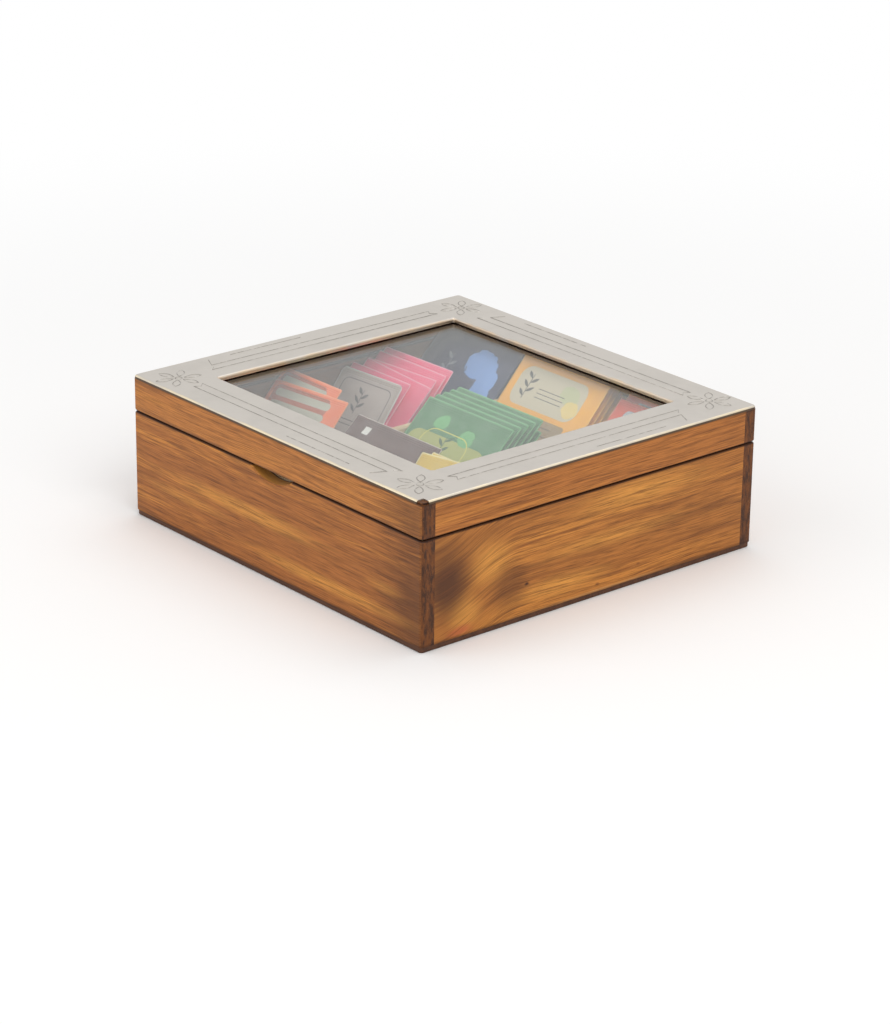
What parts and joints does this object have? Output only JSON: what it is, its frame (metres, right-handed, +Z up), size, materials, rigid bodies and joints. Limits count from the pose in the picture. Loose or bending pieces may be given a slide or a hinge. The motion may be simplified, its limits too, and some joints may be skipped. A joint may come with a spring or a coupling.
{
  "type": "tea bag organizer box",
  "caption": "Stained wooden tea box with a hinged lid, a pressed metal frame round its glass window, and wrapped tea bags leaning in its divided inside.",
  "frame": {"origin": "middle of the box's underside, between the outer faces of its four boards", "axes": "+X to the right along the front, +Y from the front to the hinged back, +Z up; lid closed"},
  "size_m": [0.23, 0.22, 0.0761],
  "materials": {
    "box_wood": "brown stain with golden streaks, satin",
    "lid_wood": "orange-brown stain, satin",
    "inner_wood": "pale, matt",
    "panel_wood": "dark brown stain, matt",
    "pressed_metal": "warm grey, satin, embossed",
    "pane_glass": "clear",
    "hinge_brass": "satin",
    "navy_paper": "matt printed paper",
    "orange_paper": "matt printed paper",
    "red_paper": "matt printed paper",
    "pink_paper": "matt paper",
    "silver_paper": "satin printed paper",
    "green_paper": "matt printed paper",
    "striped_paper": "matt printed paper",
    "plum_paper": "matt paper",
    "yellow_paper": "matt printed paper"
  },
  "bodies": {
    "case": {"back_board": "box_wood", "body_leaf_left": "hinge_brass", "body_leaf_right": "hinge_brass", "bottom_panel": "panel_wood", "cross_divider_left": "inner_wood", "cross_divider_right": "inner_wood", "front_board": "box_wood", "green_tea_beneath": "green_paper", "green_tea_front": "green_paper", "green_tea_rear": "green_paper", "hinge_pin_left": "hinge_brass", "hinge_pin_right": "hinge_brass", "left_board": "box_wood", "long_divider_back": "inner_wood", "long_divider_front": "inner_wood", "navy_tea_beneath": "navy_paper", "navy_tea_front": "navy_paper", "orange_tea_beneath": "orange_paper", "orange_tea_front": "orange_paper", "pink_tea_1": "pink_paper", "pink_tea_2": "pink_paper", "pink_tea_3": "pink_paper", "pink_tea_4": "pink_paper", "pink_tea_5": "pink_paper", "plum_tea_beneath": "plum_paper", "plum_tea_front": "plum_paper", "red_tea_beneath": "red_paper", "red_tea_front": "red_paper", "red_tea_rear": "red_paper", "right_board": "box_wood", "silver_tea_front": "silver_paper", "striped_tea_front": "striped_paper", "striped_tea_rear": "striped_paper", "yellow_tea_beneath": "yellow_paper", "yellow_tea_front": "yellow_paper"},
    "lid": {"glass_pane": "pane_glass", "glazing_bead_back": "inner_wood", "glazing_bead_front": "inner_wood", "glazing_bead_left": "inner_wood", "glazing_bead_right": "inner_wood", "lid_leaf_left": "hinge_brass", "lid_leaf_right": "hinge_brass", "lid_rail_back": "lid_wood", "lid_rail_front": "lid_wood", "lid_rail_left": "lid_wood", "lid_rail_right": "lid_wood", "metal_cover": "pressed_metal", "window_slat_back": "inner_wood", "window_slat_front": "inner_wood", "window_slat_left": "inner_wood", "window_slat_right": "inner_wood"}
  },
  "joints": [
    {"name": "lid_hinge", "type": "hinge", "parent": "case", "child": "lid", "pos_m": [0, 0.1099, 0.0568], "axis": [-1, 0, 0], "range_deg": [0, 105]}
  ]
}
